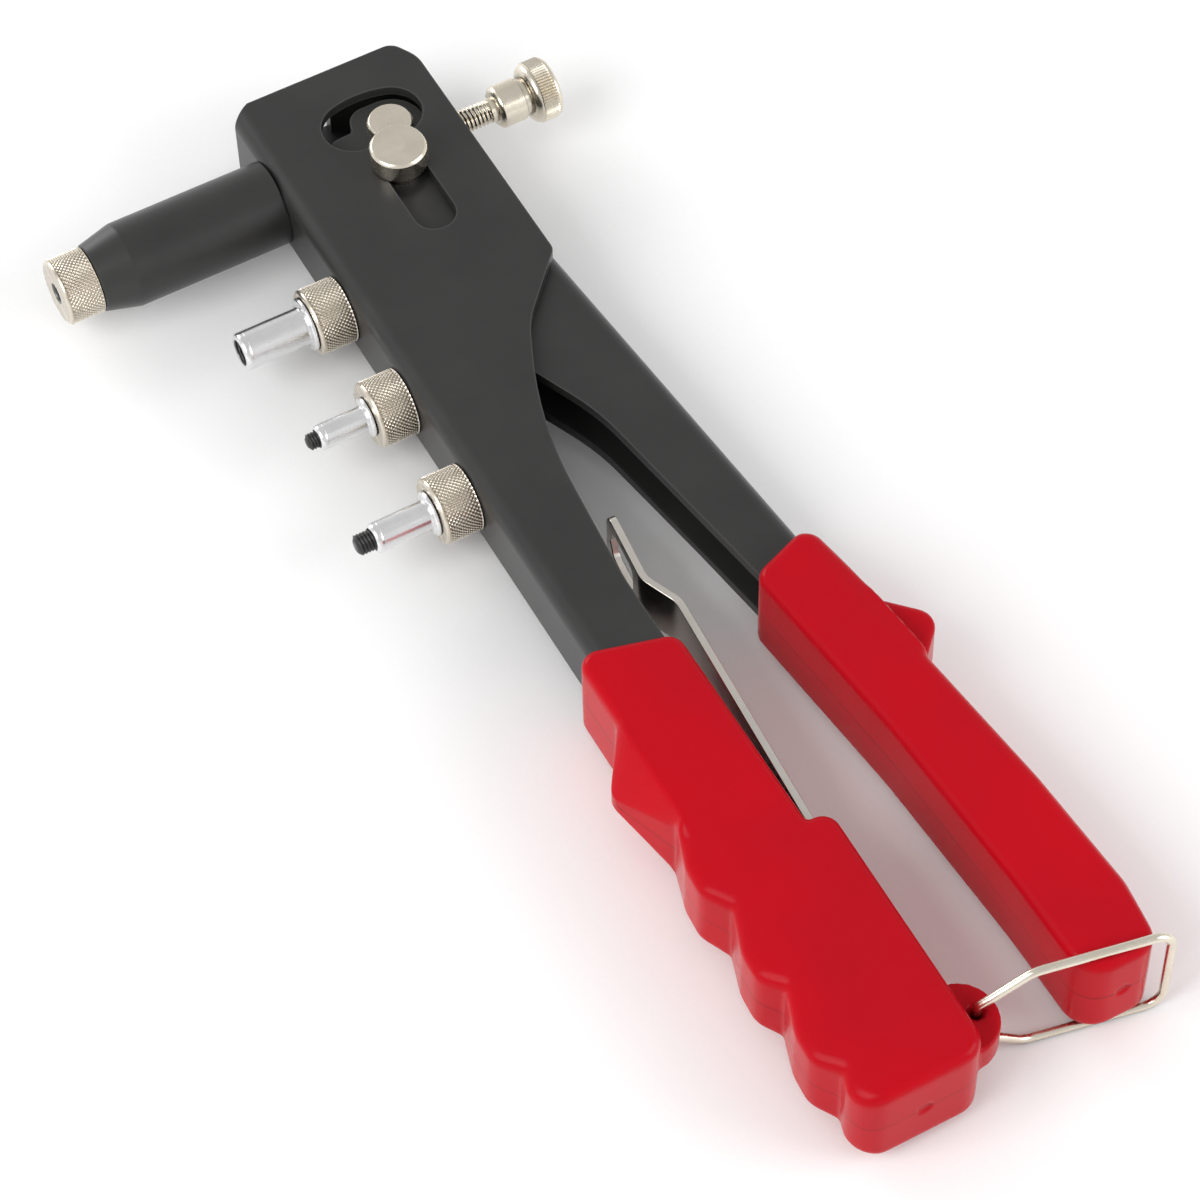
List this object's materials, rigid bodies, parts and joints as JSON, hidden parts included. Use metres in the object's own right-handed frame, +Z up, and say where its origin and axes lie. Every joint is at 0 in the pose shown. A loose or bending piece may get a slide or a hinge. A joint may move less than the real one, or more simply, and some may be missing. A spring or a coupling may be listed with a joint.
{
  "type": "hand riveter",
  "caption": "Two-handed rivet-nut setting tool lying on its side, with a pressed-steel body and lever, red grips, spare nosepieces, a wire latch and a stowed spanner",
  "frame": {"origin": "middle of the box around the tool, on the surface it lies on", "axes": "+X back along the nose axis from nosepiece to knob, +Y along the handles from the grips to the head, +Z up, along the pivot pin"},
  "size_m": [0.1284, 0.2972, 0.0312],
  "materials": {
    "black_steel": "satin black coated pressed steel",
    "nickel": "warm nickel plate",
    "zinc": "bright zinc plate",
    "black_oxide": "black oxide",
    "red_grip": "glossy soft red plastic"
  },
  "bodies": {
    "frame": {"body_frame": "black_steel", "nose_tube": "black_steel", "nosepiece": "nickel", "pivot_pin": "nickel", "pivot_retaining_ring": "nickel", "fixed_grip": "red_grip", "spare_nosepiece_m4": "nickel", "spare_nosepiece_m5": "nickel", "spare_nosepiece_m6": "nickel", "spare_mandrel_m4": "black_oxide", "spare_mandrel_m5": "black_oxide", "spare_mandrel_m6": "black_oxide", "rivet_nut_m4": "zinc", "rivet_nut_m5": "zinc", "rivet_nut_m6": "zinc"},
    "lever": {"lever_channel": "black_steel", "lever_grip": "red_grip", "pull_pins": "nickel"},
    "carriage": {"draw_block": "black_oxide"},
    "spindle": {"draw_rod": "nickel", "thrust_washer": "nickel", "lock_nut": "nickel", "mandrel_holder": "black_oxide", "mandrel": "black_oxide", "knob_hub": "nickel", "knob": "nickel"},
    "bail": {"wire_bail": "nickel"},
    "spanner": {"spanner": "nickel"}
  },
  "joints": [
    {"name": "lever_hinge", "type": "hinge", "parent": "frame", "child": "lever", "pos_m": [0.0185, 0.1155, 0.0148], "axis": [0, 0, 1], "range_deg": [0, 34]},
    {"name": "carriage_slide", "type": "slide", "parent": "frame", "child": "carriage", "axis": [-1, 0, 0], "range_m": [0, 0.0078]},
    {"name": "spindle_spin", "type": "hinge", "parent": "carriage", "child": "spindle", "pos_m": [0.0225, 0.1272, 0.0148], "axis": [1, 0, 0], "continuous": true},
    {"name": "bail_hinge", "type": "hinge", "parent": "frame", "child": "bail", "pos_m": [0.0191, -0.1366, 0.0148], "axis": [0, 0, 1], "range_deg": [-67, 17.5]},
    {"name": "spanner_slide", "type": "slide", "parent": "frame", "child": "spanner", "axis": [0.0584, 0.9983, 0], "range_m": [0, 0.04]}
  ],
  "couplings": [
    {"joint": "carriage_slide", "follows": "lever_hinge", "m_per_rad": 0.013106}
  ]
}
